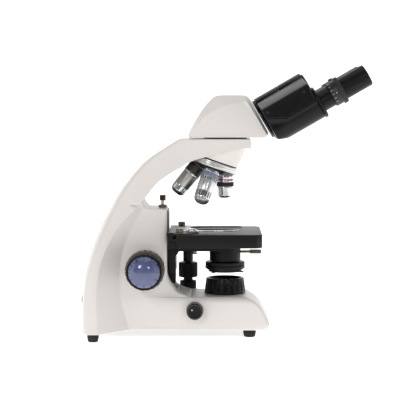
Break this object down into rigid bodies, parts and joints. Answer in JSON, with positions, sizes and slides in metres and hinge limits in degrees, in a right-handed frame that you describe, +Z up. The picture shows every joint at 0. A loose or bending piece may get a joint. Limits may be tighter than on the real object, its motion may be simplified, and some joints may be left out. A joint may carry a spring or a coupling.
{
  "type": "binocular microscope",
  "caption": "Upright compound microscope: curved white stand, inclined black binocular head, tilted objective turret, black mechanical stage, condenser and blue-capped focus knobs.",
  "frame": {"origin": "on the optical axis at table level, midway between the power inlet's flange and the eyepieces' rims, below the middle of the whole", "axes": "+X to the user (eyepiece side), +Y to the user's right, +Z up"},
  "size_m": [0.367, 0.21, 0.34],
  "materials": {
    "white_paint": "satin",
    "black_paint": "satin",
    "black_plastic": "satin",
    "blue_plastic": "glossy",
    "rubber": "matte",
    "chrome": "polished",
    "satin_steel": "satin",
    "dark_steel": "satin",
    "glass": "clear"
  },
  "bodies": {
    "stand": {"stand_casting": "white_paint", "base_cover": "dark_steel", "foot_front_left": "rubber", "foot_front_right": "rubber", "foot_rear_left": "rubber", "foot_rear_right": "rubber", "power_inlet": "black_plastic", "collector_ring": "black_plastic", "collector_lens": "glass", "lamp_module": "satin_steel", "slot_frame": "black_paint", "stop_lock_nut": "satin_steel", "turret_screw": "satin_steel"},
    "switch": {"power_switch": "black_plastic"},
    "dimmer": {"dimmer_knob": "black_plastic"},
    "coarse_focus": {"coarse_shaft": "satin_steel", "coarse_knob_left": "black_plastic", "coarse_knob_right": "black_plastic"},
    "fine_focus": {"fine_shaft": "satin_steel", "fine_knob_left": "black_plastic", "fine_knob_right": "black_plastic", "fine_knob_cap_left": "blue_plastic", "fine_knob_cap_right": "blue_plastic"},
    "carriage": {"focus_carriage": "satin_steel"},
    "stop_screw": {"focus_stop_screw": "satin_steel"},
    "stage_support": {"stage_bracket": "black_paint", "stage_fixed_plate": "black_paint"},
    "stage_table": {"stage_top_plate": "black_paint", "stage_rail": "black_paint"},
    "y_knob": {"stage_y_knob": "black_plastic"},
    "x_knob": {"stage_x_knob": "black_plastic"},
    "holder": {"slide_holder": "satin_steel", "holder_screw_near": "satin_steel", "holder_screw_far": "satin_steel"},
    "finger": {"spring_finger": "chrome"},
    "condenser": {"condenser_body": "black_paint", "condenser_lens": "glass"},
    "iris": {"iris_lever": "black_paint"},
    "filter": {"filter_frame": "black_paint"},
    "condenser_clamp": {"condenser_clamp_screw": "satin_steel"},
    "nosepiece": {"turret": "dark_steel", "turret_grip": "satin_steel", "objective_4x": "satin_steel", "objective_10x": "satin_steel", "objective_40x": "satin_steel", "objective_100x": "satin_steel"},
    "head": {"head_housing": "white_paint", "head_prism": "glass", "head_mount": "black_paint", "binocular_flange": "black_paint", "hinge_pin": "black_plastic"},
    "head_clamp": {"head_clamp_screw": "satin_steel"},
    "arm_left": {"eyepiece_arm_left": "black_plastic", "ocular_tube_left": "black_plastic"},
    "diopter_left": {"diopter_ring_left": "black_plastic"},
    "ocular_left": {"eyepiece_left": "black_plastic"},
    "arm_right": {"eyepiece_arm_right": "black_plastic", "ocular_tube_right": "black_plastic"},
    "diopter_right": {"diopter_ring_right": "black_plastic"},
    "ocular_right": {"eyepiece_right": "black_plastic"}
  },
  "joints": [
    {"name": "switch_rock", "type": "hinge", "parent": "stand", "child": "switch", "pos_m": [-0.1765, 0.03, 0.0415], "axis": [0, 1, 0], "range_deg": [-12, 0]},
    {"name": "dimmer_turn", "type": "hinge", "parent": "stand", "child": "dimmer", "pos_m": [-0.038, -0.0452, 0.035], "axis": [0, -1, 0], "range_deg": [0, 270]},
    {"name": "coarse_travel", "type": "slide", "parent": "stand", "child": "carriage", "axis": [0, 0, 1], "range_m": [-0.004, 0.0225]},
    {"name": "coarse_turn", "type": "hinge", "parent": "stand", "child": "coarse_focus", "pos_m": [-0.099, 0, 0.088], "axis": [0, -1, 0], "range_deg": [-40, 216]},
    {"name": "fine_turn", "type": "hinge", "parent": "stand", "child": "fine_focus", "pos_m": [-0.099, 0, 0.088], "axis": [0, -1, 0], "range_deg": [-1800, 1800]},
    {"name": "fine_travel", "type": "slide", "parent": "carriage", "child": "stage_support", "axis": [0, 0, 1], "range_m": [-0.001, 0.001]},
    {"name": "stop_screw_travel", "type": "slide", "parent": "stand", "child": "stop_screw", "axis": [0, 0, 1], "range_m": [-0.002, 0.004]},
    {"name": "stage_fore_aft", "type": "slide", "parent": "stage_support", "child": "stage_table", "axis": [1, 0, 0], "range_m": [0, 0.03]},
    {"name": "y_knob_turn", "type": "hinge", "parent": "stage_table", "child": "y_knob", "pos_m": [-0.0483, 0.0585, 0.1], "axis": [0, 0, 1], "range_deg": [0, 246]},
    {"name": "slide_left_right", "type": "slide", "parent": "stage_table", "child": "holder", "axis": [0, 1, 0], "range_m": [-0.03, 0.03]},
    {"name": "x_knob_turn", "type": "hinge", "parent": "stage_table", "child": "x_knob", "pos_m": [-0.0483, 0.0585, 0.1], "axis": [0, 0, 1], "range_deg": [-246, 246]},
    {"name": "finger_swing", "type": "hinge", "parent": "holder", "child": "finger", "pos_m": [-0.042, -0.043, 0.134], "axis": [0, 0, 1], "range_deg": [-30, 0], "stiffness_Nm_per_rad": 0.03, "springref_deg": 5.73},
    {"name": "condenser_travel", "type": "slide", "parent": "stage_support", "child": "condenser", "axis": [0, 0, 1], "range_m": [-0.0015, 0.001]},
    {"name": "iris_turn", "type": "hinge", "parent": "condenser", "child": "iris", "pos_m": [0, 0, 0.0848], "axis": [0, 0, 1], "range_deg": [-35, 35]},
    {"name": "filter_swing", "type": "hinge", "parent": "condenser", "child": "filter", "pos_m": [-0.015, -0.0117, 0.08], "axis": [0, 0, 1], "range_deg": [-75, 0]},
    {"name": "condenser_clamp_turn", "type": "hinge", "parent": "stage_support", "child": "condenser_clamp", "pos_m": [0.03, 0, 0.104], "axis": [1, 0, 0], "range_deg": [-180, 0]},
    {"name": "nosepiece_turn", "type": "hinge", "parent": "stand", "child": "nosepiece", "pos_m": [0, 0, 0.2568], "axis": [-0.3338, 0, -0.9426], "continuous": true},
    {"name": "head_turn", "type": "hinge", "parent": "stand", "child": "head", "pos_m": [0, 0, 0.2497], "axis": [0, 0, 1], "continuous": true},
    {"name": "head_clamp_turn", "type": "hinge", "parent": "stand", "child": "head_clamp", "pos_m": [0.008, 0.035, 0.2447], "axis": [0, 1, 0], "range_deg": [-180, 0]},
    {"name": "pupil_left", "type": "hinge", "parent": "head", "child": "arm_left", "pos_m": [0.0779, 0, 0.29918], "axis": [0.866, 0, 0.5], "range_deg": [-14, 11]},
    {"name": "pupil_right", "type": "hinge", "parent": "head", "child": "arm_right", "pos_m": [0.0779, 0, 0.29918], "axis": [0.866, 0, 0.5], "range_deg": [-11, 14]},
    {"name": "diopter_turn_left", "type": "hinge", "parent": "arm_left", "child": "diopter_left", "pos_m": [0.14186, -0.031, 0.3084], "axis": [0.866, 0, 0.5], "range_deg": [-180, 180]},
    {"name": "diopter_travel_left", "type": "slide", "parent": "arm_left", "child": "ocular_left", "axis": [0.866, 0, 0.5], "range_m": [-0.0025, 0.0025]},
    {"name": "diopter_turn_right", "type": "hinge", "parent": "arm_right", "child": "diopter_right", "pos_m": [0.14186, 0.031, 0.3084], "axis": [0.866, 0, 0.5], "range_deg": [-180, 180]},
    {"name": "diopter_travel_right", "type": "slide", "parent": "arm_right", "child": "ocular_right", "axis": [0.866, 0, 0.5], "range_m": [-0.0025, 0.0025]}
  ],
  "couplings": [
    {"joint": "coarse_turn", "follows": "coarse_travel", "rad_per_m": 166.67},
    {"joint": "fine_turn", "follows": "fine_travel", "rad_per_m": 31416},
    {"joint": "y_knob_turn", "follows": "stage_fore_aft", "rad_per_m": 142.86},
    {"joint": "x_knob_turn", "follows": "slide_left_right", "rad_per_m": 142.86},
    {"joint": "pupil_right", "follows": "pupil_left", "ratio": -1},
    {"joint": "diopter_travel_left", "follows": "diopter_turn_left", "m_per_rad": 0.00079498},
    {"joint": "diopter_travel_right", "follows": "diopter_turn_right", "m_per_rad": 0.00079498}
  ]
}
